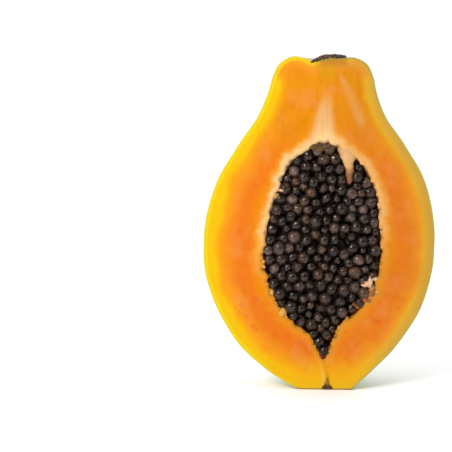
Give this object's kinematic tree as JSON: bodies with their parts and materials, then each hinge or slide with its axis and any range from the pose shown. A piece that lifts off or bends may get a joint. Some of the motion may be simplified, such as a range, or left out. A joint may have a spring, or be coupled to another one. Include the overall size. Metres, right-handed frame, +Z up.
{
  "type": "papaya half",
  "caption": "Ripe papaya halved lengthwise, standing upright on its blossom end, with an open seed cavity filled with dark seeds and a corky scar at the stem end.",
  "frame": {"origin": "middle of the flat spot at the blossom end that the half stands on", "axes": "+Z up along the fruit towards the stem end, +Y from the cut face into the fruit, +X to the right seen from the cut side"},
  "size_m": [0.1089, 0.0494, 0.159],
  "materials": {
    "flesh": "moist satin, yellow under the skin and orange inside",
    "skin": "smooth waxy green skin with a yellow flush",
    "seeds": "wet gloss over dark wrinkled seeds",
    "cork": "dry corky scar"
  },
  "bodies": {
    "root": {"fruit_half": "flesh", "seed_mass": "seeds", "stem_scar": "cork", "blossom_scar": "cork"}
  },
  "joints": []
}
